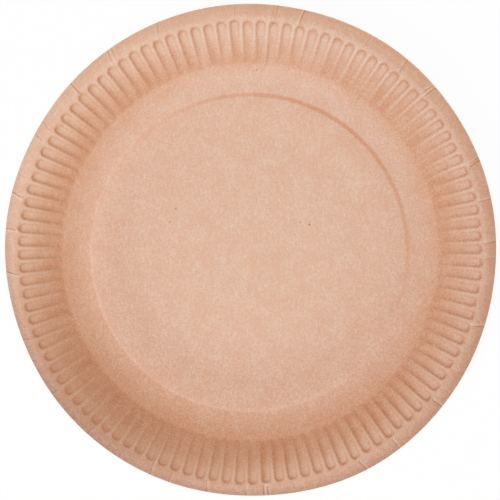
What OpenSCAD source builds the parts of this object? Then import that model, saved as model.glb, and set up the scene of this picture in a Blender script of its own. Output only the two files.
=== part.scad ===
// Paper plate: one round sheet of kraft board, pressed to shape. The middle is a slightly raised
// panel, the plate stands on the flat ring round it, and a curve leads up to the sloping wall.
// The wall is fluted all the way round: the flutes take up the board that is left over when a
// flat sheet is drawn in. Outside them a smooth rim turns over and down to the cut edge.
// Millimetres, +Z up, origin on the table under the middle of the plate.

/* [Plate] */
// Outside diameter at the cut edge
plate_d = 230; // [224:1:240]
// Thickness of the board
board = 0.45; // [0.3:0.05:0.6]

/* [Base] */
// Diameter of the raised middle panel
panel_d = 147; // [100:1:150]
// Height of the panel above the resting ring
panel_lift = 0.7; // [0.2:0.1:2]
// Width of the sloping step round the panel
step_w = 2; // [1:0.5:3.5]
// Radius of the curve from the resting ring up to the wall
base_curve_r = 25; // [10:1:28]
// Slope that the base curve has reached where the wall starts
base_curve_angle = 28; // [15:1:32]

/* [Wall] */
// Diameter at the foot of the wall
foot_d = 178; // [175:1:188]
// Slope of the wall along its ridges
wall_angle = 37; // [34:1:50]

/* [Rim] */
// Width of the rim outside its highest line
lip_w = 4.4; // [3:0.1:8]
// Radius over the top of the rim
crest_r = 2.5; // [1.5:0.5:5]
// Slope down to the cut edge
lip_angle = 25; // [5:1:60]

/* [Flutes] */
// Number of flutes round the wall
flute_count = 108; // [60:1:112]
// Depth of a flute at its outer end
flute_depth = 0.9; // [0.5:0.1:1.4]
// Depth of a flute at its foot
flute_foot_depth = 0.25; // [0.1:0.05:0.5]
// Width of the ridge left between two flutes
ridge_w = 1.4; // [1.2:0.1:2.4]
// Plain wall left at both ends of a flute
flute_gap = 0.7; // [0.6:0.1:3]

/* [Hidden] */
$fn = 216;
kraft = "#dfb898";

// Straight pieces that stand for one arc of the section
arc_steps = 9;

// Radii and heights of the section's corners, on the upper face
panel_r = panel_d / 2;
ring_r = panel_r + step_w;
foot_r = foot_d / 2;
foot_z = board + base_curve_r * (1 - cos(base_curve_angle));
curve_start_r = foot_r - base_curve_r * sin(base_curve_angle);
top_r = plate_d / 2 - lip_w;
wall_end_r = top_r - crest_r * sin(wall_angle);
wall_end_z = foot_z + (wall_end_r - foot_r) * tan(wall_angle);
crest_z = wall_end_z - crest_r * cos(wall_angle);
lip_start_r = top_r + crest_r * sin(lip_angle);
edge_z = crest_z + crest_r * cos(lip_angle) - (plate_d / 2 - lip_start_r) * tan(lip_angle);

// Points of an arc, with angles from the outward direction
function arc(centre, r, from, to) = [
    for (i = [0:arc_steps])
        let (a = from + (to - from) * i / arc_steps)
            centre + r * [cos(a), sin(a)]
];

// Unit normal to the left of the way from a to b
function normal(a, b) = [a[1] - b[1], b[0] - a[0]] / norm(b - a);

// A line moved sideways by t, with mitred corners
function beside(line, t) = [
    for (i = [0:len(line) - 1])
        let (last = len(line) - 1)
        let (before = normal(line[max(i - 1, 0)], line[max(i, 1)]))
        let (after = normal(line[min(i, last - 1)], line[min(i + 1, last)]))
            line[i] + t * (before + after) / (1 + before * after)
];

// The section from the middle to the cut edge, as [radius, height]: the wall is the straight
// stretch between the base and the rim
base_line = concat(
    [[0, board + panel_lift], [panel_r, board + panel_lift], [ring_r, board]],
    arc([curve_start_r, board + base_curve_r], base_curve_r, -90, -90 + base_curve_angle)
);
rim_line = concat(
    arc([top_r, crest_z], crest_r, 90 + wall_angle, 90 - lip_angle),
    [[plate_d / 2, edge_z]]
);
upper = concat(base_line, rim_line);
lower = beside(upper, -board);
foot_point = len(base_line) - 1;
edge_point = len(upper) - 1;

// A flute's length, and half its width at a distance from its foot: the ridges keep one width
wall_run = (wall_end_r - foot_r) / cos(wall_angle);
flute_len = wall_run - 2 * flute_gap;
flute_foot_r = foot_r + flute_gap * cos(wall_angle);
flute_spread = PI / flute_count * cos(wall_angle);
function flute_half(x) = PI * flute_foot_r / flute_count - ridge_w / 2 + flute_spread * x;
// Centre of the round outer end
round_x = (flute_len - flute_half(0)) / (1 + flute_spread);
// Slope of a flute's floor against the wall
flute_tilt = atan((flute_depth - flute_foot_depth) / flute_len);
// More than any flute is deep or wide
flute_room = 2 * flute_depth;
flute_reach = 2 * PI * wall_end_r / flute_count;

// The sheet between two points of its section
module band(from, to) {
    rotate_extrude() polygon(concat(
        [for (i = [from:to]) lower[i]],
        [for (i = [to:-1:from]) upper[i]]
    ));
}

// Outline of a flute on its floor, wider all round by grow
module flute_outline(grow) {
    foot_half = flute_half(0) + grow;
    round_r = flute_half(round_x) + grow;
    polygon([[-grow, -foot_half], [round_x, -round_r], [round_x, round_r], [-grow, foot_half]]);
    translate([round_x, 0]) intersection() {
        circle(r = round_r);
        translate([0, -2 * round_r]) square([2 * round_r, 4 * round_r]);
    }
}

// A solid bar in the shape of a flute, from its floor up, with the floor lower by grow
module flute(grow) {
    translate([flute_gap, 0, -flute_foot_depth])
        rotate([0, flute_tilt, 0])
            translate([0, 0, -grow])
                linear_extrude(grow + flute_room) flute_outline(grow);
}

// What a flute presses out on the under face, up to the middle of the board
module flute_back() {
    intersection() {
        flute(board);
        translate([0, -flute_reach / 2, -2 * flute_room])
            cube([wall_run, flute_reach, 2 * flute_room - board / 2]);
    }
}

// Copies round the wall, each lying on it with x up the slope and z off its upper face
module round_wall() {
    for (i = [0:flute_count - 1])
        rotate(i * 360 / flute_count)
            translate([foot_r, 0, foot_z])
                rotate([0, -wall_angle, 0]) children();
}

module fluted_wall() {
    difference() {
        union() {
            band(foot_point, foot_point + 1);
            round_wall() flute_back();
        }
        round_wall() flute(0);
    }
}

module plate() {
    color(kraft) union() {
        band(0, foot_point);
        fluted_wall();
        band(foot_point + 1, edge_point);
    }
}

plate();
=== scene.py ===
"""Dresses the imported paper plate: the pressed kraft sheet, its board finish and a plain studio."""

from __future__ import annotations

import logging
import math
import random
from dataclasses import dataclass
from enum import Enum
from functools import cached_property

import bpy
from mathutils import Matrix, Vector, noise


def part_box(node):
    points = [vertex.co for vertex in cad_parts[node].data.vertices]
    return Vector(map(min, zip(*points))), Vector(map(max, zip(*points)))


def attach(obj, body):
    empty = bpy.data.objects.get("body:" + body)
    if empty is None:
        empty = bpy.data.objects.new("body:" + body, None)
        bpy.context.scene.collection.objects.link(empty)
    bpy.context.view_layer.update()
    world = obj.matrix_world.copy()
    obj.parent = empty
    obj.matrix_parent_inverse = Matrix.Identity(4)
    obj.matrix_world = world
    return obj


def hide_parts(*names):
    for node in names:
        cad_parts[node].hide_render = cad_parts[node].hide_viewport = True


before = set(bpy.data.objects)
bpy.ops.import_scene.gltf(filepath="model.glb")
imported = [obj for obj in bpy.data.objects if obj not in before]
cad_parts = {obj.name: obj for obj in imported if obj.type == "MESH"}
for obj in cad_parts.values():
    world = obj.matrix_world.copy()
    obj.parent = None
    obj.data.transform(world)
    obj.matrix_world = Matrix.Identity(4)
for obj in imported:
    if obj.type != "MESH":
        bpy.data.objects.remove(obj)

MM = 0.001
PLATE_NODE = "plate"
KRAFT_SLOT = "kraft_board"
ROOT_BODY = "root"
# Degrees of the side on which the flutes are shallow and the lip stands up
SHALLOW_SIDE = 225.0
# Degrees over which that side, or another patch, falls off to either hand
SHALLOW_SPREAD = 21.0
# Degrees beside a crease of the wall over which the sheet's columns bend with it
BEND_SPREAD = 4.0
# A radius that the plate doesn't reach
PAST_EDGE = 1.0
# Values that the mesh carries for its finish: painted shade in folds and creases, browning mixed with
# painted shade and highlight, and painted shade
CREASE_SHADE = "crease"
TAN_AND_PAINTED_SHADE = "tan"
PAINTED_SHADE = "painted_shade_tone"
DOWN = Vector((0.0, 0.0, -1.0))

Colour = tuple[float, float, float, float]
Span = tuple[float, float]
Socket = bpy.types.NodeSocket
Inputs = dict[str | int, Socket | tuple | float]

log = logging.getLogger("paper_plate")


def smooth(low: float, high: float, value: float) -> float:
    """Eases a value to a share that leaves 0 at low and reaches 1 at high."""
    share = min(max((value - low) / (high - low), 0.0), 1.0)
    return share * share * (3.0 - 2.0 * share)


def turn_apart(a: float, b: float) -> float:
    """Gives the signed angle from b to a, in radians within half a turn."""
    return (a - b + math.pi) % math.tau - math.pi


def patch_share(turn: float, degrees: float = SHALLOW_SIDE, spread: float = SHALLOW_SPREAD) -> float:
    """Gives how near an angle in radians is to a patch or the shallow side, from 0 to 1."""
    aside = turn_apart(turn, math.radians(degrees))
    return math.exp(-0.5 * (aside / math.radians(spread)) ** 2)


class FoldStrength(Enum):
    """How sharply the spare board of the rim is pressed into a fold."""

    FAINT = 0.35
    PLAIN = 0.7
    STRONG = 1.0


@dataclass(frozen=True)
class RimFold:
    """One fold that runs in from the cut edge of the rim.

    Attributes:
        degrees: Where it meets the edge, counter-clockwise from +X.
        strength: How sharply it is pressed.
        lean: Degrees that it drifts on its way in.
        reach: How far in from the edge it runs, in metres.
    """

    degrees: float
    strength: FoldStrength = FoldStrength.PLAIN
    lean: float = 0.0
    reach: float = 8.0 * MM


@dataclass(frozen=True)
class Ring:
    """A soft ring of the plate: radii where it starts, is full, starts to fade and has gone."""

    start: float
    full: float
    fade: float = PAST_EDGE
    gone: float = 2.0 * PAST_EDGE

    @classmethod
    def about(cls, r: float, *steps: float) -> Ring:
        """Makes a ring whose radii lie so many millimetres outside a radius."""
        return cls(*(r + step * MM for step in steps))

    def share(self, r: float) -> float:
        """Gives how fully a radius lies in the ring, from 0 to 1."""
        return smooth(self.start, self.full, r) * (1.0 - smooth(self.fade, self.gone, r))


@dataclass(frozen=True)
class BaseCrease:
    """One thin crease that runs down the wall.

    Attributes:
        degrees: Where it lies on the wall, counter-clockwise from +X.
        bend, bend_r: Degrees that it turns aside on its way in, and from which radius.
        outer_r, inner_r: Radii at which it starts and ends.
        shade: How dark its painted shade is.
    """

    degrees: float
    bend: float
    bend_r: float
    outer_r: float
    inner_r: float
    shade: float

    def bend_turn(self, turn: float, r: float) -> float:
        """Gives how far a place beside it turns aside with it, in radians."""
        aside = math.radians(self.bend) * (1.0 - smooth(self.inner_r - 2.0 * MM, self.bend_r, r))
        return aside * patch_share(turn, self.degrees, BEND_SPREAD)

    def shade_at(self, r: float) -> float:
        """Gives how dark its painted shade is at a radius."""
        ends = (self.inner_r - 1.0 * MM, self.inner_r + 1.0 * MM, self.outer_r - 3.0 * MM, self.outer_r)
        return self.shade * Ring(*ends).share(r)


@dataclass(frozen=True)
class EdgeWave:
    """One slow wave of the cut edge: lobes round the rim, its height and where it peaks."""

    lobes: int
    height: float
    peak_degrees: float

    def out(self, turn: float) -> float:
        """Gives how far it carries the edge outwards at an angle in radians."""
        return self.height * math.cos(self.lobes * (turn - math.radians(self.peak_degrees)))


FAINT = FoldStrength.FAINT
STRONG = FoldStrength.STRONG
RIM_FOLDS = (
    RimFold(2.1), RimFold(12.1, lean=0.4), RimFold(21.5, STRONG, -0.5), RimFold(22.3, lean=-0.7),
    RimFold(36.8, FAINT), RimFold(41.4, STRONG, 0.5), RimFold(42.2, lean=0.7), RimFold(50.7, lean=-0.4),
    RimFold(61.0, FAINT), RimFold(66.6, FAINT), RimFold(77.4, STRONG, 0.6), RimFold(83.6, FAINT, 0.3),
    RimFold(84.6, FAINT, 0.3), RimFold(93.9, FAINT), RimFold(112.6, lean=0.5), RimFold(124.8),
    RimFold(125.8, lean=0.3), RimFold(137.4, STRONG, -0.5), RimFold(148.4, lean=0.4), RimFold(151.8),
    RimFold(161.8, FAINT), RimFold(166.3, STRONG, 0.4), RimFold(174.9, STRONG, -0.4),
    RimFold(185.0, STRONG, 0.6), RimFold(191.2, FAINT), RimFold(201.3, lean=0.4),
    RimFold(215.8, lean=-0.4), RimFold(228.1, lean=0.3), RimFold(237.4, FAINT),
    RimFold(245.5, reach=10.0 * MM), RimFold(250.3, lean=0.4), RimFold(259.5, lean=-0.3), RimFold(268.8),
    RimFold(273.0, STRONG, 0.3, 13.0 * MM), RimFold(274.0, STRONG, 0.3), RimFold(280.6, FAINT),
    RimFold(297.8, STRONG, -0.5), RimFold(306.8, lean=0.4), RimFold(320.6, STRONG, 0.5),
    RimFold(329.9, FAINT), RimFold(336.8, FAINT), RimFold(341.9, STRONG, -0.4), RimFold(358.2, FAINT),
)
EDGE_WAVES = (
    EdgeWave(2, 0.28 * MM, -71.0), EdgeWave(3, 0.24 * MM, -58.0), EdgeWave(4, 0.15 * MM, 39.0),
    EdgeWave(5, 0.14 * MM, 23.6), EdgeWave(6, 0.14 * MM, -2.5), EdgeWave(9, 0.09 * MM, 14.9),
)
BASE_CREASES = (
    BaseCrease(84.98, 1.7, 91.0 * MM, 99.0 * MM, 84.6 * MM, 0.42),
    BaseCrease(54.98, -0.3, 90.0 * MM, 91.0 * MM, 86.6 * MM, 0.5),
    BaseCrease(245.45, 0.0, 91.0 * MM, 112.0 * MM, 97.0 * MM, 0.35),
)


class ToneShape(Enum):
    """How a tone changes on the way round the plate."""

    SWING = "one side up, the other down"
    PATCH = "one side only"


PATCH = ToneShape.PATCH


@dataclass(frozen=True)
class ToneBand:
    """A ring of the board whose tone differs from the rest.

    Attributes:
        ring: Where it lies.
        level: Its tone all the way round.
        side: What one side has besides.
        degrees: Where that side is, counter-clockwise from +X.
        shape: How that goes on round the plate.
        spread: Degrees over which a patch falls off to either hand.
    """

    ring: Ring
    level: float
    side: float = 0.0
    degrees: float = 0.0
    shape: ToneShape = ToneShape.SWING
    spread: float = SHALLOW_SPREAD

    def tone(self, spot: Spot) -> float:
        """Gives the band's tone at a point of the sheet.

        Args:
            spot: The point.

        Returns:
            The tone, 0 outside the band.
        """
        share = self.ring.share(spot.r)
        if share <= 0.0:
            return 0.0
        if self.shape is PATCH:
            return share * (self.level + self.side * patch_share(spot.turn, self.degrees, self.spread))
        return share * (self.level + self.side * math.cos(spot.turn - math.radians(self.degrees)))


@dataclass(frozen=True)
class Section:
    """The plate's section through its axis, on the upper face, in metres and degrees.

    Attributes:
        edge_r, board: Radius of the cut edge, and thickness of the board.
        panel_r, panel_lift: Radius of the raised middle panel, and its height above the resting ring.
        step_w: Width of the step round the panel.
        curve_r, curve_angle: Radius of the curve up to the wall, and its slope at the wall's foot.
        foot_r, wall_angle: Radius at the foot of the wall, and the wall's slope.
        crest_r, lip_w, lip_angle: Radius over the rim's top, and width and slope of the lip outside it.
    """

    edge_r: float
    board: float = 0.45 * MM
    panel_r: float = 73.5 * MM
    panel_lift: float = 0.7 * MM
    step_w: float = 2.0 * MM
    curve_r: float = 25.0 * MM
    curve_angle: float = 28.0
    foot_r: float = 89.0 * MM
    wall_angle: float = 37.0
    lip_w: float = 4.4 * MM
    crest_r: float = 2.5 * MM
    lip_angle: float = 25.0

    @property
    def slope(self) -> float:
        """The wall's slope in radians."""
        return math.radians(self.wall_angle)

    @property
    def ring_r(self) -> float:
        """Radius at which the step meets the resting ring."""
        return self.panel_r + self.step_w

    @property
    def curve_start_r(self) -> float:
        """Radius at which the base starts to curve up."""
        return self.foot_r - self.curve_r * math.sin(math.radians(self.curve_angle))

    @property
    def foot_z(self) -> float:
        """Height of the foot of the wall."""
        return self.board + self.curve_r * (1.0 - math.cos(math.radians(self.curve_angle)))

    @property
    def top_r(self) -> float:
        """Radius of the rim's highest line."""
        return self.edge_r - self.lip_w

    @property
    def wall_end_r(self) -> float:
        """Radius at which the wall turns over into the rim."""
        return self.top_r - self.crest_r * math.sin(self.slope)

    @property
    def step(self) -> Ring:
        """The step round the panel."""
        edge = 0.2 * MM
        full = 0.3 * MM
        return Ring(self.panel_r - edge, self.panel_r + full, self.ring_r - full, self.ring_r + edge)

    @property
    def lip(self) -> Ring:
        """The lip outside the rim's highest line."""
        return Ring(self.top_r, self.top_r + 1.5 * MM)

    def wall_from(self, start: float, full: float) -> Ring:
        """Gives the wall from two distances outside its foot, in millimetres, up to the rim."""
        return Ring(self.foot_r + start * MM, self.foot_r + full * MM, self.wall_end_r, self.top_r)

    def height(self, r: float) -> float:
        """Gives the height of the upper face.

        Args:
            r: Radius, in metres.

        Returns:
            The height above the table, in metres.
        """
        lip = math.radians(self.lip_angle)
        if r <= self.ring_r:
            down_step = min(max((r - self.panel_r) / self.step_w, 0.0), 1.0)
            return self.board + self.panel_lift * (1.0 - down_step)
        if r <= self.curve_start_r:
            return self.board
        if r <= self.foot_r:
            along = r - self.curve_start_r
            return self.board + self.curve_r - math.sqrt(self.curve_r ** 2 - along ** 2)
        if r <= self.wall_end_r:
            return self.foot_z + (r - self.foot_r) * math.tan(self.slope)
        wall_end_z = self.foot_z + (self.wall_end_r - self.foot_r) * math.tan(self.slope)
        crest_z = wall_end_z - self.crest_r * math.cos(self.slope)
        lip_start_r = self.top_r + self.crest_r * math.sin(lip)
        if r <= lip_start_r:
            return crest_z + math.sqrt(self.crest_r ** 2 - (r - self.top_r) ** 2)
        return crest_z + self.crest_r * math.cos(lip) - (r - lip_start_r) * math.tan(lip)


@dataclass(frozen=True)
class FluteTone:
    """How brown or pale a flute is, in shares of the tan_and_painted_shade tint: browning, painted shade
    and painted highlight.

    Attributes:
        flank, end: Painted shade along the line down an average flank, doubled on the flank turned from the
            shallow side and gone on the one facing it, and browning mixed with painted shade round the
            outer end.
        line_in, line_spread: How far inside the outline that line runs, and how far it falls off.
        ridge, ridge_out: How much paler a painted highlight makes a ridge, and how much more towards its
            outer end.
        middle, tip: How much paler a painted highlight makes a flute's middle near its end, and how brown a
            painted shade makes a soft flute's tip.
    """

    flank: float = 0.4
    end: float = 0.42
    line_in: float = 0.6 * MM
    line_spread: float = 0.45 * MM
    ridge: float = 0.3
    ridge_out: float = 0.25
    middle: float = 0.5
    tip: float = 0.5


@dataclass(frozen=True)
class FluteMarks:
    """One flute's own share of depth, outward drift of its end, added share of its browning, painted shade
    and highlight, and foot streak.
    """

    depth_share: float
    end_drift: float
    tone_share: float
    streak: float


@dataclass(frozen=True)
class Spot:
    """One point of the sheet under the die.

    Attributes:
        share: Its place within the pitch, from 0 at one ridge to 1 at the next.
        r, turn: Its radius, and its angle in radians.
        inside: How far it lies inside its flute's outline, below 0 outside.
        crisp, marks: How crisply its flute is pressed, up to 1, and that flute's own marks.
        fold_sink, fold_shade: How far the rim's folds sink it, and how dark their painted shade makes it,
            below 0 how pale their painted highlight makes it.
        painted_crease_shade: How dark the painted shade in the creases of the wall makes it.
    """

    share: float
    r: float
    turn: float
    inside: float
    crisp: float
    marks: FluteMarks
    fold_sink: float
    fold_shade: float
    painted_crease_shade: float

    @property
    def facing(self) -> float:
        """How far its flank of the flute faces the shallow side, from -1 to 1."""
        flank = 1.0 if self.share < 0.5 else -1.0
        return math.sin(math.radians(SHALLOW_SIDE) - self.turn) * flank


@dataclass(frozen=True)
class Flutes:
    """The flutes pressed into the wall.

    Attributes:
        foot_r, end_r: Radii at which the flutes start and that their outer ends reach.
        count, first_degrees: Number of flutes, and where the ridge before the first one lies.
        ridge_w: Width of the ridge between two flutes.
        foot_depth, end_depth: Depth at the foot of the wall and at the round outer end.
        roll: How softly their sides roll over on to the ridges, from 1 up.
        tone: How brown or pale they are, with painted shade and highlight.
        marks_low, marks_high: The least and the most that a flute may have of its own marks.
        seed: Seed of those marks.
    """

    foot_r: float
    end_r: float = 108.65 * MM
    count: int = 108
    first_degrees: float = 2.35
    ridge_w: float = 1.6 * MM
    foot_depth: float = 0.4 * MM
    end_depth: float = 0.68 * MM
    roll: float = 1.4
    tone: FluteTone = FluteTone()
    marks_low: FluteMarks = FluteMarks(0.85, -0.35 * MM, -0.1, -0.2)
    marks_high: FluteMarks = FluteMarks(1.12, 0.35 * MM, 0.1, 0.35)
    seed: int = 7

    @property
    def pitch(self) -> float:
        """Angle from one ridge to the next, in radians."""
        return math.tau / self.count

    @property
    def round_r(self) -> float:
        """Radius of the round outer ends, seen from above."""
        return self.half_width(self.end_r)

    def half_width(self, r: float) -> float:
        """Half the width of a flute at a radius."""
        return (self.pitch * r - self.ridge_w) / 2.0

    @cached_property
    def marks(self) -> list[FluteMarks]:
        """Each flute's own marks, drawn one kind of mark after another.

        Returns:
            The marks, one entry to a flute.
        """
        draw = random.Random(self.seed)
        ranges = zip(vars(self.marks_low).values(), vars(self.marks_high).values())
        kinds = [[draw.uniform(low, high) for _ in range(self.count)] for low, high in ranges]
        return [FluteMarks(*own) for own in zip(*kinds)]

    def inside(self, r: float, aside: float) -> float:
        """Gives how far a place lies inside a flute's outline.

        Args:
            r: Distance from the plate's axis along the middle of the flute.
            aside: Distance from the middle of the flute.

        Returns:
            The distance, in metres, negative outside.
        """
        centre_r = self.end_r - self.round_r
        if r > centre_r:
            return self.round_r - math.hypot(r - centre_r, aside)
        return min(self.half_width(r) - abs(aside), r - self.foot_r)

    def depth(self, spot: Spot) -> float:
        """Gives how deep the sheet is pressed at a point.

        Args:
            spot: The point.

        Returns:
            The depth below the plain wall, in metres.
        """
        to_side = 1.0 - min(max(spot.inside / self.half_width(spot.r), 0.0), 1.0)
        along = min(max((spot.r - self.foot_r) / (self.end_r - self.foot_r), 0.0), 1.0)
        full = self.foot_depth + (self.end_depth - self.foot_depth) * along
        return full * (1.0 - to_side ** 2) ** self.roll * spot.marks.depth_share * spot.crisp

    def tan(self, spot: Spot) -> float:
        """Gives how much browner than the plain wall the board is in and round a flute: real browning mixed
        with painted shade.

        Args:
            spot: The point.

        Returns:
            The browning and painted shade to add, below 0 where painted highlight makes ridges and middles
            paler.
        """
        tone = self.tone
        end = self.end_r
        foot = self.foot_r
        r = spot.r
        inside = spot.inside
        crisp = spot.crisp
        on_wall = Ring(foot, foot + 11.0 * MM, end + 0.4 * MM, end + 1.6 * MM).share(r)
        line = math.exp(-0.5 * ((inside - tone.line_in) / tone.line_spread) ** 2)
        on_ridge = 1.0 - smooth(-0.7 * MM, 0.0, inside)
        on_ridge *= 1.0 - smooth(end - 1.8 * MM, end + 0.4 * MM, r)
        at_end = smooth(end - 6.0 * MM, end, r)
        at_tip = smooth(end - 4.5 * MM, end - 1.5 * MM, r) * smooth(0.0, 0.6 * MM, inside)
        in_middle = smooth(end - 10.0 * MM, end - 5.0 * MM, r) * smooth(0.8 * MM, 1.7 * MM, inside)
        # Painted highlight on ridges and flute middles; painted shade down the flank turned from the
        # shallow side, which is also the key lamp's side, and on soft tips
        bare = tone.ridge + tone.ridge_out * smooth(end - 12.0 * MM, end - 4.0 * MM, r)
        pale = bare * crisp * on_ridge + tone.middle * (2.0 * crisp - 1.0) * in_middle
        tan_and_painted_shade = tone.flank * crisp * (1.0 - spot.facing) + tone.end * at_end
        flute = on_wall * (tan_and_painted_shade * line - pale + tone.tip * (1.0 - crisp) * at_tip)
        streak = Ring.about(foot, -1.0, 2.5, 4.0, 14.0).share(r)
        streak *= smooth(0.0, 0.6 * self.half_width(r), inside)
        return flute * (1.0 + spot.marks.tone_share) + streak * spot.marks.streak


@dataclass
class PressedPlate:
    """The plate itself: a flat round blank that a die presses to shape.

    Attributes:
        section, flutes: The plate's section and the flutes of its wall.
        edge_shift: How far the cut edge lies off the plate's axis, along x and y.
        edge_lift, edge_lift_scale: How far the cut edge may rise or fall on its way round, and how often.
        lip_rise: How far the lip stands up on the shallow side.
        shallow_loss: Share of their depth that the flutes lack on the shallow side.
        fold_depth, fold_half_w: Depth of a strong fold of the rim, and half the width of any fold.
        fold_span: Half widths beside a fold up to which it counts.
        fold_full: Share of its reach over which a fold stays full.
        lean_run: Way in over which a fold drifts by its lean.
        lap_aside: How many half widths beside a fold its raised lap lies.
        lap_lift, lap_pale: The lap's height and its painted highlight, as shares of the fold's depth and
            painted shade.
        crease_depth: Depth of a crease of the wall, if its painted shade were 1.
        smooth_angle: Degrees between faces up to which they are shaded as one.
        name: What the piece is called.
    """

    section: Section
    flutes: Flutes
    edge_shift: tuple[float, float] = (0.51 * MM, 0.85 * MM)
    edge_lift: float = 0.35 * MM
    edge_lift_scale: float = 3.0
    lip_rise: float = 1.8 * MM
    shallow_loss: float = 0.5
    fold_depth: float = 0.32 * MM
    fold_half_w: float = 0.38 * MM
    fold_span: float = 6.0
    fold_full: float = 0.7
    lean_run: float = 6.5 * MM
    lap_aside: float = 1.6
    lap_lift: float = 0.45
    lap_pale: float = 0.6
    crease_depth: float = 0.05 * MM
    smooth_angle: float = 50.0
    name: str = "kraft_plate"

    # Places of the columns of faces within one pitch, close together beside the ridges
    COLUMN_SHARES = (0.0, 0.08, 0.14, 0.21, 0.34, 0.66, 0.79, 0.86, 0.92)

    @property
    def columns(self) -> int:
        """Number of columns of faces round the plate."""
        return self.flutes.count * len(self.COLUMN_SHARES)

    @cached_property
    def ring_radii(self) -> list[float]:
        """Radii of the blank's rings.

        Returns:
            The radii, from the cut edge inwards.
        """
        s = self.section
        # Where each stretch of rings starts, and the number of rings in it
        stretches = (
            (s.edge_r, 9), (s.wall_end_r + 0.3 * MM, 8), (self.flutes.end_r - 1.7 * MM, 10),
            (s.foot_r + 1.0 * MM, 5), (s.foot_r - 0.6 * MM, 5), (s.curve_start_r, 2),
            (s.ring_r + 0.2 * MM, 6), (s.panel_r - 0.2 * MM, 5), (0.25 * s.panel_r, 0),
        )
        radii = []
        for (start, rings), (stop, _) in zip(stretches, stretches[1:]):
            radii += [start + (stop - start) * i / rings for i in range(rings)]
        return radii

    def blank(self) -> bpy.types.Object:
        """Lays out the flat blank: a circle that is extruded inwards ring by ring.

        Returns:
            The blank, a flat sheet with its panel closed.
        """
        radii = self.ring_radii
        bpy.ops.object.select_all(action="DESELECT")
        bpy.ops.mesh.primitive_circle_add(vertices=self.columns, radius=radii[0], fill_type="NOTHING")
        piece = bpy.context.object
        piece.name = self.name
        piece.data.name = self.name
        bpy.ops.object.mode_set(mode="EDIT")
        bpy.ops.mesh.select_mode(type="EDGE")
        bpy.ops.mesh.select_all(action="SELECT")
        for outer, inner in zip(radii, radii[1:]):
            bpy.ops.mesh.extrude_edges_move()
            share = inner / outer
            bpy.ops.transform.resize(value=(share, share, 1.0), center_override=(0.0, 0.0, 0.0))
        bpy.ops.mesh.edge_face_add()
        bpy.ops.mesh.select_all(action="SELECT")
        bpy.ops.mesh.normals_make_consistent(inside=False)
        bpy.ops.object.mode_set(mode="OBJECT")
        if piece.data.polygons[-1].normal.z < 0.0:
            piece.data.flip_normals()
        return piece

    def column_turn(self, column: int, r: float) -> float:
        """Gives the angle of a column: set by the flutes on the wall, even or on a fold on the rim.

        Args:
            column: Number of the column, from the first ridge on.
            r: Radius of the place.

        Returns:
            The angle, in radians.
        """
        in_pitch = len(self.COLUMN_SHARES)
        flute, place = divmod(column, in_pitch)
        on_rim = smooth(self.section.wall_end_r - 0.4 * MM, self.section.top_r, r)
        share = self.COLUMN_SHARES[place] * (1.0 - on_rim) + place / in_pitch * on_rim
        turn = math.radians(self.flutes.first_degrees) + (flute + share) * self.flutes.pitch
        if column in self.fold_columns:
            fold, side = self.fold_columns[column]
            line = self.fold_turn(fold, r) + side * self.fold_half_w / r
            turn += turn_apart(line, turn) * on_rim
        for crease in BASE_CREASES:
            turn += crease.bend_turn(turn, r)
        return turn

    def nearest_column(self, degrees: float) -> int:
        """Gives the column that lies nearest to an angle on the wall.

        Args:
            degrees: The angle, counter-clockwise from +X.

        Returns:
            The column's number.
        """
        shares = self.COLUMN_SHARES
        pitches = (degrees - self.flutes.first_degrees) / math.degrees(self.flutes.pitch)
        flute, place = divmod(pitches % self.flutes.count, 1.0)
        nearest = min(range(len(shares)), key=lambda i: abs(shares[i] - place))
        return int(flute) * len(shares) + nearest

    @cached_property
    def crease_columns(self) -> dict[int, BaseCrease]:
        """The columns that lie on creases of the wall, each with its crease."""
        return {self.nearest_column(crease.degrees): crease for crease in BASE_CREASES}

    @cached_property
    def fold_columns(self) -> dict[int, tuple[RimFold, int]]:
        """The three columns that each fold of the rim draws on to its lines.

        Returns:
            For each such column its fold and its side of the fold: -1, 0 or 1.
        """
        found: dict[int, tuple[RimFold, int]] = {}
        for fold in RIM_FOLDS:
            turn = math.radians(fold.degrees + 0.5 * fold.lean - self.flutes.first_degrees)
            middle = round(turn / math.tau * self.columns)
            for side in (-1, 0, 1):
                found[(middle + side) % self.columns] = (fold, side)
        return found

    def fold_turn(self, fold: RimFold, r: float) -> float:
        """Gives the angle of a fold's line at a radius, in radians."""
        way = (self.section.edge_r - r) / self.lean_run
        return math.radians(fold.degrees + fold.lean * way)

    def fold_press(self, turn: float, r: float) -> tuple[float, float]:
        """Gives what the rim's folds do at a place.

        Args:
            turn: Angle of the place, in radians.
            r: Radius of the place.

        Returns:
            How far the face sinks, in metres, and how dark the fold's painted shade is, below 0 where a
            painted highlight makes its lap pale.
        """
        sink = 0.0
        shade = 0.0
        inward = self.section.edge_r - r
        for fold in RIM_FOLDS:
            fade = 1.0 - smooth(self.fold_full * fold.reach, fold.reach, inward)
            if fade <= 0.0:
                continue
            aside = turn_apart(turn, self.fold_turn(fold, r)) * r / self.fold_half_w
            if abs(aside) > self.fold_span:
                continue
            valley = max(0.0, 1.0 - abs(aside))
            lap = math.exp(-0.5 * (aside - self.lap_aside) ** 2)
            strength = fold.strength.value * fade
            sink += self.fold_depth * strength * (valley - self.lap_lift * lap)
            # Painted shade down the fold's valley, painted highlight on its lap
            shade += strength * (valley - self.lap_pale * lap)
        return sink, shade

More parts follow.
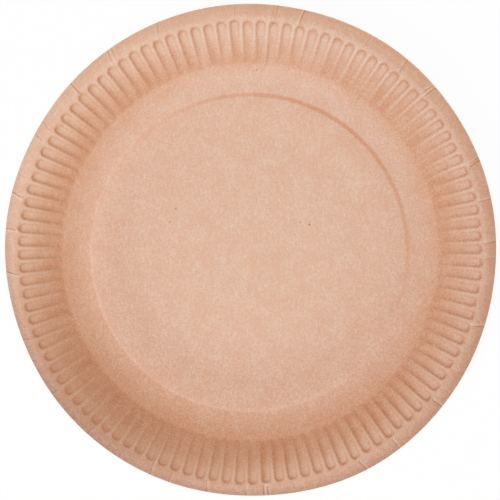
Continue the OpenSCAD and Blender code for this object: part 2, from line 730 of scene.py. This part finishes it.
    def spot(self, flat: Vector) -> Spot:
        """Finds where a point of the flat blank lies under the die.

        Args:
            flat: The point.

        Returns:
            The point under the die.
        """
        f = self.flutes
        flat_r = flat.xy.length
        ring_r = min(self.ring_radii, key=lambda radius: abs(radius - flat_r))
        column = round(math.atan2(flat.y, flat.x) / math.tau * self.columns) % self.columns
        flute, place = divmod(column, len(self.COLUMN_SHARES))
        share = self.COLUMN_SHARES[place]
        marks = f.marks[flute]
        r = self.wrap_round_end(ring_r, share)
        turn = self.column_turn(column, r)
        along_r = r - marks.end_drift * smooth(f.foot_r, f.end_r, r)
        inside = f.inside(along_r, (share - 0.5) * f.pitch * r)
        crisp = 1.0 - self.shallow_loss * patch_share(turn)
        fold_sink, fold_shade = self.fold_press(turn, r)
        crease = self.crease_columns.get(column)
        painted_crease_shade = crease.shade_at(r) if crease else 0.0
        return Spot(share, r, turn, inside, crisp, marks, fold_sink, fold_shade, painted_crease_shade)

    def pressed_place(self, spot: Spot) -> Vector:
        """Gives the place to which the die moves a point.

        Args:
            spot: The point under the die.

        Returns:
            Its place on the pressed sheet's upper face.
        """
        s = self.section
        outward = Vector((math.cos(spot.turn), math.sin(spot.turn), 0.0))
        tilt = s.slope * smooth(s.foot_r - 2.0 * MM, s.foot_r, spot.r)
        into = outward * math.sin(tilt) + DOWN * math.cos(tilt)
        place = outward * spot.r + Vector((0.0, 0.0, s.height(spot.r)))
        place += into * self.flutes.depth(spot) + DOWN * (spot.fold_sink + self.crease_depth * spot.painted_crease_shade)
        return place + self.edge_drift(spot)

    def tones(self, spot: Spot) -> tuple[float, float, float]:
        """Gives a point's painted shade in folds and creases, its browning mixed with painted shade and
        highlight, and its painted shade.
        """
        tan, painted_shade_tone = (sum(band.tone(spot) for band in bands) for bands in (self.tan_and_painted_shade, self.painted_shade))
        return spot.fold_shade + spot.painted_crease_shade, tan + self.flutes.tan(spot), painted_shade_tone

    def press(self, piece: bpy.types.Object) -> None:
        """Presses the blank: every point of it moves to the die's surface and gets its tones.

        Args:
            piece: The flat blank.
        """
        mesh = piece.data
        tones = []
        for vertex in mesh.vertices:
            spot = self.spot(vertex.co)
            vertex.co = self.pressed_place(spot)
            tones.append(self.tones(spot))
        for name, values in zip((CREASE_SHADE, TAN_AND_PAINTED_SHADE, PAINTED_SHADE), zip(*tones)):
            mesh.attributes.new(name, "FLOAT", "POINT").data.foreach_set("value", values)
        mesh.update()

    @cached_property
    def tan_and_painted_shade(self) -> tuple[ToneBand, ...]:
        """Where the board is browned, most at the foot of the wall: partly real browning and partly painted
        shade, the dark ring at the foot standing for shade in the hollow there and the swings and patches
        round the plate for uneven light, while bands below 0 are painted highlight.

        Returns:
            The bands, in the tan_and_painted_shade tint.
        """
        s = self.section
        foot = s.foot_r
        flute_end = self.flutes.end_r
        base_end = s.panel_r + 9.0 * MM
        beside_step = Ring(s.ring_r + 0.1 * MM, s.ring_r + 0.6 * MM, s.ring_r + 1.5 * MM, base_end)
        outer_flutes = Ring(foot + 6.0 * MM, foot + 13.0 * MM, flute_end - 2.0 * MM, flute_end)
        whole_flutes = Ring(foot - 1.0 * MM, foot + 2.0 * MM, flute_end - 2.0 * MM, flute_end)
        return (
            ToneBand(Ring.about(foot, -13.0, 2.0, 2.0, 17.0), 0.65),
            ToneBand(Ring.about(foot, -1.0, 1.5), 0.15),
            ToneBand(Ring.about(foot, -1.0, 1.0, 1.6, 4.0), 0.14),
            ToneBand(Ring(s.panel_r, base_end, s.wall_end_r, s.top_r), 0.0, 0.36, 236.0),
            ToneBand(s.step, -0.14, 1.06, 55.0, PATCH, 46.0),
            ToneBand(Ring.about(s.ring_r, -0.6, -0.3, -0.1, 0.2), 0.0, -0.3, SHALLOW_SIDE, PATCH, 50.0),
            ToneBand(beside_step, 0.0, 0.22, SHALLOW_SIDE, PATCH, 55.0),
            ToneBand(s.wall_from(6.0, 12.0), 0.0, 0.22, 213.0, PATCH),
            ToneBand(outer_flutes, 0.1),
            ToneBand(Ring.about(foot, -10.0, -5.0, 12.0, 19.0), 0.0, -0.22, 90.0, PATCH),
            ToneBand(whole_flutes, 0.0, 0.2, 137.0, PATCH),
            ToneBand(Ring(s.top_r - 0.5 * MM, s.edge_r), 0.27),
            ToneBand(s.lip, 0.0, 0.5, 52.0),
            ToneBand(s.lip, 0.0, -0.08, 38.0, PATCH),
        )

    @cached_property
    def painted_shade(self) -> tuple[ToneBand, ...]:
        """Where painted shade darkens the board; where a tone is below 0, painted light makes it paler.

        Returns:
            The bands, in the painted shade's tint.
        """
        s = self.section
        foot = s.foot_r
        rim = Ring(s.wall_end_r, s.top_r)
        return (
            ToneBand(Ring(30.0 * MM, foot - 11.0 * MM, foot - 9.0 * MM, foot + 3.0 * MM), 0.28),
            ToneBand(Ring(0.4 * foot, foot, foot - 6.0 * MM, foot + 3.0 * MM), 0.0, 0.25, 315.0),
            ToneBand(Ring(45.0 * MM, 65.0 * MM, 70.0 * MM, 77.0 * MM), 0.0, 0.2, 220.0),
            ToneBand(Ring.about(foot, -14.0, -8.0, -4.0, 2.0), 0.0, 0.13, 75.0),
            ToneBand(s.step, -0.08, 0.3, SHALLOW_SIDE),
            ToneBand(s.wall_from(-6.0, 3.0), -0.08, 0.4, 17.0),
            ToneBand(s.wall_from(6.0, 18.0), 0.0, 0.2, 17.0),
            ToneBand(rim, 0.25, 0.15, 0.0),
            ToneBand(rim, 0.0, 0.25, 315.0),
            ToneBand(s.lip, -0.07, 0.75, 231.0),
            ToneBand(s.lip, 0.0, 0.25, 206.0, PATCH),
            ToneBand(s.lip, 0.0, -0.3, 160.0, PATCH),
            ToneBand(s.lip, 0.0, -0.1, 38.0, PATCH),
            ToneBand(s.wall_from(8.0, 17.0), 0.0, -0.3, 276.0, PATCH),
            ToneBand(Ring(s.top_r, s.edge_r), 0.12, 0.2, 270.0),
            ToneBand(Ring(0.7 * foot, foot), 0.0, 0.2, SHALLOW_SIDE, PATCH),
            ToneBand(s.wall_from(-1.0, 7.0), 0.0, 0.22, SHALLOW_SIDE, PATCH),
            ToneBand(Ring(s.wall_end_r - 1.0 * MM, s.top_r), 0.0, 0.45, SHALLOW_SIDE, PATCH),
        )

    def wrap_round_end(self, r: float, share: float) -> float:
        """Bends the rings near the flutes' outer ends round those ends.

        Args:
            r: Radius of the ring along the middle of a flute.
            share: Place within the pitch, from 0 to 1.

        Returns:
            The radius of the ring at that place.
        """
        f = self.flutes
        aside = min(abs(share - 0.5) * f.pitch * f.end_r, f.round_r)
        bow = f.round_r - math.sqrt(f.round_r ** 2 - aside ** 2)
        bent = Ring(f.end_r - 3.0 * f.round_r, f.end_r - 0.6 * MM,
                    f.end_r + 0.4 * MM, self.section.top_r + 1.5 * MM)
        return r - bow * bent.share(r)

    def edge_drift(self, spot: Spot) -> Vector:
        """Gives how far the rim lies off a true circle at a point.

        Args:
            spot: The point under the die.

        Returns:
            The shift, in metres, nothing inside the rim.
        """
        turn = spot.turn
        share = smooth(self.section.wall_end_r, self.section.edge_r, spot.r)
        outward = Vector((math.cos(turn), math.sin(turn), 0.0))
        wave = sum(edge_wave.out(turn) for edge_wave in EDGE_WAVES)
        scale = self.edge_lift_scale
        lift = self.edge_lift * noise.noise(Vector((scale * math.cos(turn), scale * math.sin(turn), 0.0)))
        lift += self.lip_rise * patch_share(turn)
        shift = Vector((self.edge_shift[0], self.edge_shift[1], 0.0))
        return (outward * wave + shift + Vector((0.0, 0.0, lift))) * share

    def thicken(self, piece: bpy.types.Object) -> None:
        """Gives the pressed sheet the thickness of its board, downwards from the upper face.

        Args:
            piece: The pressed sheet.
        """
        solidify = piece.modifiers.new("board", "SOLIDIFY")
        solidify.thickness = self.section.board
        solidify.offset = -1.0
        bpy.ops.object.select_all(action="DESELECT")
        piece.select_set(True)
        bpy.context.view_layer.objects.active = piece
        bpy.ops.object.modifier_apply(modifier=solidify.name)
        bpy.ops.object.shade_smooth_by_angle(angle=math.radians(self.smooth_angle))

    def build(self) -> bpy.types.Object:
        """Makes the plate.

        Returns:
            The finished piece, at the origin.
        """
        piece = self.blank()
        self.press(piece)
        self.thicken(piece)
        return piece

    def dress(self, piece: bpy.types.Object, finish: KraftBoard) -> None:
        """Gives the plate its finish and its place in the frame.

        Args:
            piece: The plate.
            finish: The board's finish.
        """
        piece.data.materials.clear()
        piece.data.materials.append(finish.material())
        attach(piece, ROOT_BODY)
        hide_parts(PLATE_NODE)


@dataclass(frozen=True)
class SoftNoise:
    """A soft noise: clouds to the metre, finer octaves, and its values that count as none and full."""

    scale: float
    detail: float
    span: Span


@dataclass(frozen=True)
class Nodes:
    """Short ways to add nodes to the tree of one material or world."""

    tree: bpy.types.NodeTree

    def feed(self, node: bpy.types.Node, inputs: Inputs) -> None:
        """Links or sets inputs of a node.

        Args:
            node: The node.
            inputs: By name or number, the socket to link an input to or the value to set it to.
        """
        for key, value in inputs.items():
            if isinstance(value, Socket):
                self.tree.links.new(value, node.inputs[key])
            else:
                node.inputs[key].default_value = value

    def add(self, kind: str, inputs: Inputs, **settings: str) -> bpy.types.Node:
        """Adds a node.

        Args:
            kind: Its type, without the ShaderNode that comes first.
            inputs: What to feed its inputs, as above.
            **settings: Its own settings, made before its inputs are fed.

        Returns:
            The node.
        """
        node = self.tree.nodes.new("ShaderNode" + kind)
        for name, setting in settings.items():
            setattr(node, name, setting)
        self.feed(node, inputs)
        return node

    def maths(self, operation: str, first: Socket | float, second: Socket | float) -> Socket:
        """Works out one value from two."""
        return self.add("Math", {0: first, 1: second}, operation=operation).outputs[0]

    def carried(self, name: str) -> Socket:
        """Reads a value that the mesh carries."""
        return self.add("Attribute", {}, attribute_name=name).outputs["Fac"]

    def cloud(self, place: Socket, kind: SoftNoise) -> Socket:
        """Adds a soft noise, from 0 to 1."""
        inputs = {"Vector": place, "Scale": kind.scale, "Detail": kind.detail}
        return self.add("TexNoise", inputs).outputs["Fac"]

    def mapped(self, place: Socket, scale: tuple[float, float, float], degrees: float = 0.0) -> Socket:
        """Scales coordinates along each axis and turns them about z."""
        inputs = {"Vector": place, "Scale": scale, "Rotation": (0.0, 0.0, math.radians(degrees))}
        return self.add("Mapping", inputs).outputs["Vector"]

    def ramp(self, value: Socket, span: Span, result: Span = (0.0, 1.0)) -> Socket:
        """Spreads a value so that the ends of a span become two results, and holds it between them."""
        inputs = {"Value": value, "From Min": span[0], "From Max": span[1],
                  "To Min": result[0], "To Max": result[1]}
        return self.add("MapRange", inputs).outputs["Result"]

    def blend(self, share: Socket | float, first: Socket | Colour, second: Socket | Colour,
              way: str = "MIX") -> Socket:
        """Blends a share of the second colour into the first, by mixing or in another way."""
        inputs = {"Factor": share, "A": first, "B": second}
        return self.add("Mix", inputs, data_type="RGBA", blend_type=way).outputs["Result"]

    def direct_view(self) -> Socket:
        """Adds a test for rays that the camera sees directly, by gloss or through glass.

        Returns:
            1 for such a ray, otherwise 0.
        """
        path = self.add("LightPath", {}).outputs
        by_gloss = self.maths("MAXIMUM", path["Is Camera Ray"], path["Is Glossy Ray"])
        return self.maths("MAXIMUM", by_gloss, path["Is Transmission Ray"])


@dataclass(frozen=True)
class BarkSpeck:
    """One dark speck of bark in the board: its place in plan and its radius, in metres."""

    x: float
    y: float
    radius: float


BARK_SPECKS = tuple(BarkSpeck(x * MM, y * MM, radius * MM) for x, y, radius in (
    (28.0, 12.9, 0.62), (-38.1, 14.3, 0.45), (-35.3, 20.5, 0.45), (3.0, 86.1, 0.38), (23.7, 13.9, 0.36),
))


@dataclass(frozen=True)
class KraftBoard:
    """Uncoated brown kraft board: pale brown, fibrous, with darker flecks.

    Attributes:
        deep, pale: Colours of its darker clouds and grain, and of its paler grain and fibres.
        fleck: Colour of the flecks and specks of bark.
        painted_crease_shade, lap_highlight: Colours of the painted shade down in a fold and of the painted
            highlight on the lap beside it.
        fold_share, lap_share: How far a fold and its lap take on those colours.
        tan_and_painted_shade, painted_shade: Tints of the board at a tone of 1, for browning mixed with
            painted shade, and for painted shade alone.
        patchiness, patch_span: Two shares of a tint, and the values of the grain that have them.
        roughness, gloss: How matt it is, from least to most, and the strength of its highlights.
        relief, relief_share: Depth of its felt-like relief, and how much of that shows.
        clouds, grain, fibres: Its three noises.
        fibre_stretch, fibre_turn: Share by which the fibres' noise is drawn out, and its turn in degrees.
        fleck_scale: Cells to the metre, of which a few hold a fleck.
        fleck_span, fleck_pick: Distances from a cell's point, and values of a cell, from no fleck to full.
        speck_core: Share of a speck's radius within which it is full.
    """

    deep: Colour = (0.715, 0.412, 0.272, 1.0)
    pale: Colour = (0.80, 0.595, 0.478, 1.0)
    fleck: Colour = (0.30, 0.17, 0.12, 1.0)
    painted_crease_shade: Colour = (0.46, 0.18, 0.08, 1.0)
    lap_highlight: Colour = (0.93, 0.77, 0.66, 1.0)
    tan_and_painted_shade: Colour = (0.863, 0.682, 0.571, 1.0)
    painted_shade: Colour = (0.77, 0.69, 0.66, 1.0)
    fold_share: float = 0.8
    lap_share: float = 0.9
    patchiness: Span = (1.25, 0.75)
    patch_span: Span = (0.3, 0.7)
    roughness: Span = (0.84, 0.96)
    gloss: float = 0.2
    relief: float = 0.05 * MM
    relief_share: float = 0.25
    clouds: SoftNoise = SoftNoise(110.0, 3.0, (0.35, 1.1))
    grain: SoftNoise = SoftNoise(1250.0, 5.0, (0.25, 0.75))
    fibres: SoftNoise = SoftNoise(900.0, 2.0, (0.56, 0.8))
    fibre_stretch: float = 0.35
    fibre_turn: float = 35.0
    fleck_scale: float = 95.0
    fleck_span: Span = (0.042, 0.02)
    fleck_pick: Span = (0.9, 1.15)
    speck_core: float = 0.4

    def material(self) -> bpy.types.Material:
        """Makes the board's material.

        Returns:
            The material, on object coordinates.
        """
        made = bpy.data.materials.new(KRAFT_SLOT)
        made.use_nodes = True
        nodes = Nodes(made.node_tree)
        place = nodes.add("TexCoord", {}).outputs["Object"]
        clouds = nodes.cloud(place, self.clouds)
        grain = nodes.cloud(place, self.grain)
        crease = nodes.carried(CREASE_SHADE)
        colour: Socket | Colour = self.deep
        for share, other in (
            (nodes.ramp(grain, self.grain.span), self.pale),
            (nodes.ramp(clouds, self.clouds.span), self.deep),
            (self.fibre(nodes, place), self.pale),
            (self.flecks(nodes, place), self.fleck),
            (self.specks(nodes, place), self.fleck),
            # Painted shade down in the folds and creases, and painted highlight on the folds' laps
            (nodes.maths("MULTIPLY", crease, self.fold_share), self.painted_crease_shade),
            (nodes.maths("MULTIPLY", crease, -self.lap_share), self.lap_highlight),
        ):
            colour = nodes.blend(share, colour, other)
        colour = self.tint(nodes, colour, grain)
        felt = {"Strength": self.relief_share, "Distance": self.relief, "Height": grain}
        nodes.feed(made.node_tree.nodes["Principled BSDF"], {
            "Base Color": colour,
            "Specular IOR Level": self.gloss,
            "Roughness": nodes.ramp(clouds, (0.0, 1.0), self.roughness),
            "Normal": nodes.add("Bump", felt).outputs["Normal"],
        })
        return made

    def tint(self, nodes: Nodes, colour: Socket, grain: Socket) -> Socket:
        """Tints the board by two values that the mesh carries, patchily along its grain: browning mixed
        with painted shade and highlight, and painted shade, which paints lighter below 0.

        Args:
            nodes: The material's nodes.
            colour: The board's colour before.
            grain: The fine noise.

        Returns:
            The tinted colour.
        """
        patchy = nodes.ramp(grain, self.patch_span, self.patchiness)
        for name, full in ((TAN_AND_PAINTED_SHADE, self.tan_and_painted_shade), (PAINTED_SHADE, self.painted_shade)):
            amount = nodes.maths("MULTIPLY", nodes.carried(name), patchy)
            channels = {i: nodes.maths("POWER", level, amount) for i, level in enumerate(full[:3])}
            shade = nodes.add("CombineColor", channels).outputs["Color"]
            colour = nodes.blend(1.0, colour, shade, "MULTIPLY")
        return colour

    def fibre(self, nodes: Nodes, place: Socket) -> Socket:
        """Adds the paler fibres, from 0 to 1: noise drawn out along one way of the sheet."""
        along = nodes.mapped(place, (1.0, self.fibre_stretch, 1.0), self.fibre_turn)
        return nodes.ramp(nodes.cloud(along, self.fibres), self.fibres.span)

    def flecks(self, nodes: Nodes, place: Socket) -> Socket:
        """Adds the scattered dark flecks.

        Args:
            nodes: The material's nodes.
            place: The coordinates to read.

        Returns:
            How much fleck there is, from 0 to 1.
        """
        inputs = {"Vector": place, "Scale": self.fleck_scale}
        cells = nodes.add("TexVoronoi", inputs, voronoi_dimensions="2D").outputs
        picked = nodes.add("SeparateColor", {0: cells["Color"]}).outputs[0]
        spot = nodes.ramp(cells["Distance"], self.fleck_span)
        return nodes.maths("MULTIPLY", spot, nodes.ramp(picked, self.fleck_pick))

    def specks(self, nodes: Nodes, place: Socket) -> Socket:
        """Adds the few larger specks of bark.

        Args:
            nodes: The material's nodes.
            place: The coordinates to read.

        Returns:
            How much speck there is, from 0 to 1.
        """
        plan = nodes.mapped(place, (1.0, 1.0, 0.0))
        total: Socket | float = 0.0
        for speck in BARK_SPECKS:
            ends = {0: plan, 1: (speck.x, speck.y, 0.0)}
            away = nodes.add("VectorMath", ends, operation="DISTANCE").outputs["Value"]
            spot = nodes.ramp(away, (speck.radius, self.speck_core * speck.radius))
            total = nodes.maths("MAXIMUM", total, spot)
        return total


@dataclass(frozen=True)
class StudioFloor:
    """Plain white floor that the camera sees almost white, with the plate's soft shadow.

    Attributes:
        colour: Its colour under the studio's light.
        shadow_share: How much of that light and its shadows the camera sees.
    """

    colour: Colour = (0.92, 0.92, 0.92, 1.0)
    shadow_share: float = 0.05

    def material(self) -> bpy.types.Material:
        """Makes the floor's material.

        Returns:
            The material.
        """
        made = bpy.data.materials.new("studio_floor")
        made.use_nodes = True
        nodes = Nodes(made.node_tree)
        shader = made.node_tree.nodes["Principled BSDF"]
        nodes.feed(shader, {"Base Color": self.colour, "Roughness": 1.0, "Specular IOR Level": 0.0})
        glow = nodes.add("Emission", {}).outputs["Emission"]
        part = nodes.maths("MULTIPLY", nodes.direct_view(), 1.0 - self.shadow_share)
        mix = nodes.add("MixShader", {"Fac": part, 1: shader.outputs["BSDF"], 2: glow})
        nodes.feed(made.node_tree.nodes["Material Output"], {"Surface": mix.outputs["Shader"]})
        return made


@dataclass(frozen=True)
class Lamp:
    """A soft square lamp that points at the plate.

    Attributes:
        name: What it is called.
        degrees, elevation: Where it stands, counter-clockwise from +X, and degrees above the table.
        distance, size, watts: Distance from the plate, side of its square, and its power.
    """

    name: str
    degrees: float
    elevation: float
    distance: float
    size: float
    watts: float

    def place(self) -> None:
        """Sets the lamp up."""
        bpy.ops.object.select_all(action="DESELECT")
        turn = math.radians(self.degrees)
        rise = math.radians(self.elevation)
        spot = Vector((math.cos(turn) * math.cos(rise), math.sin(turn) * math.cos(rise), math.sin(rise)))
        bpy.ops.object.light_add(type="AREA", location=spot * self.distance)
        lamp = bpy.context.object
        lamp.name = self.name
        lamp.data.size = self.size
        lamp.data.energy = self.watts
        lamp.rotation_euler = (-spot).to_track_quat("-Z", "Y").to_euler()


@dataclass(frozen=True)
class Studio:
    """The floor, the light and the camera.

    Attributes:
        floor_side: Side of the square floor.
        floor_drop: How far the floor lies below the plate, so that no two faces share a plane.
        dome, lamps: Strength of the even light from all round, and the soft lamps.
        camera_height, sensor: Camera's height above the table, and sensor's width in millimetres.
        frame_px, outline_px: Width of the photograph and of the plate's outline there, in pixels.
        outline_centre_px: Middle of that outline.
    """

    floor_side: float = 6.0
    floor_drop: float = 0.05 * MM
    dome: float = 0.15
    lamps: tuple[Lamp, ...] = (
        Lamp("top_lamp", 0.0, 90.0, 2.0, 0.8, 22.0),
        Lamp("key_lamp", 230.0, 48.0, 2.4, 0.9, 24.0),
    )
    camera_height: float = 1.3
    sensor: float = 36.0
    frame_px: float = 500.0
    outline_px: float = 492.1
    outline_centre_px: tuple[float, float] = (251.36, 250.21)

    def floor(self) -> bpy.types.Object:
        """Lays the floor under the plate.

        Returns:
            The floor.
        """
        bpy.ops.object.select_all(action="DESELECT")
        bpy.ops.mesh.primitive_plane_add(size=self.floor_side, location=(0.0, 0.0, -self.floor_drop))
        ground = bpy.context.object
        ground.name = "studio_floor"
        ground.data.materials.append(StudioFloor().material())
        return ground

    def light(self) -> None:
        """Sets the even light of the room and the lamps."""
        world = bpy.data.worlds.new("studio")
        bpy.context.scene.world = world
        world.use_nodes = True
        nodes = Nodes(world.node_tree)
        strength = nodes.ramp(nodes.direct_view(), (0.0, 1.0), (self.dome, 1.0))
        back = world.node_tree.nodes["Background"]
        nodes.feed(back, {"Color": (1.0, 1.0, 1.0, 1.0), "Strength": strength})
        for lamp in self.lamps:
            lamp.place()

    def camera(self, plate: PressedPlate) -> None:
        """Hangs the camera over the plate so that the outline falls as in the photograph.

        Args:
            plate: The plate that it looks at.
        """
        s = plate.section
        metres_per_px = 2.0 * s.edge_r / self.outline_px
        middle = self.frame_px / 2.0
        x = plate.edge_shift[0] - (self.outline_centre_px[0] - middle) * metres_per_px
        y = plate.edge_shift[1] + (self.outline_centre_px[1] - middle) * metres_per_px
        bpy.ops.object.select_all(action="DESELECT")
        bpy.ops.object.camera_add(location=(x, y, self.camera_height), rotation=(0.0, 0.0, 0.0))
        camera = bpy.context.object
        camera.name = "camera"
        camera.data.sensor_width = self.sensor
        distance = self.camera_height - s.height(s.edge_r)
        camera.data.lens = self.sensor * distance / (self.frame_px * metres_per_px)
        bpy.context.scene.camera = camera

    def build(self, plate: PressedPlate) -> bpy.types.Object:
        """Sets up the whole studio.

        Args:
            plate: The plate that it shows.

        Returns:
            The floor, its one visible piece.
        """
        ground = self.floor()
        self.light()
        self.camera(plate)
        bpy.context.scene.view_settings.view_transform = "Standard"
        return ground


def main() -> None:
    """Builds the plate and its studio and logs the face counts of the floor and the plate."""
    logging.basicConfig(level=logging.INFO)
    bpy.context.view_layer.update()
    low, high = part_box(PLATE_NODE)
    section = Section(edge_r=(high[0] - low[0]) / 2.0)
    plate = PressedPlate(section, Flutes(foot_r=section.foot_r))
    ground = Studio().build(plate)
    log.info("%s: %d faces, on the stage", ground.name, len(ground.data.polygons))
    piece = plate.build()
    plate.dress(piece, KraftBoard())
    log.info("%s: %d faces, in %s", piece.name, len(piece.data.polygons), KRAFT_SLOT)


if __name__ == "__main__":
    main()
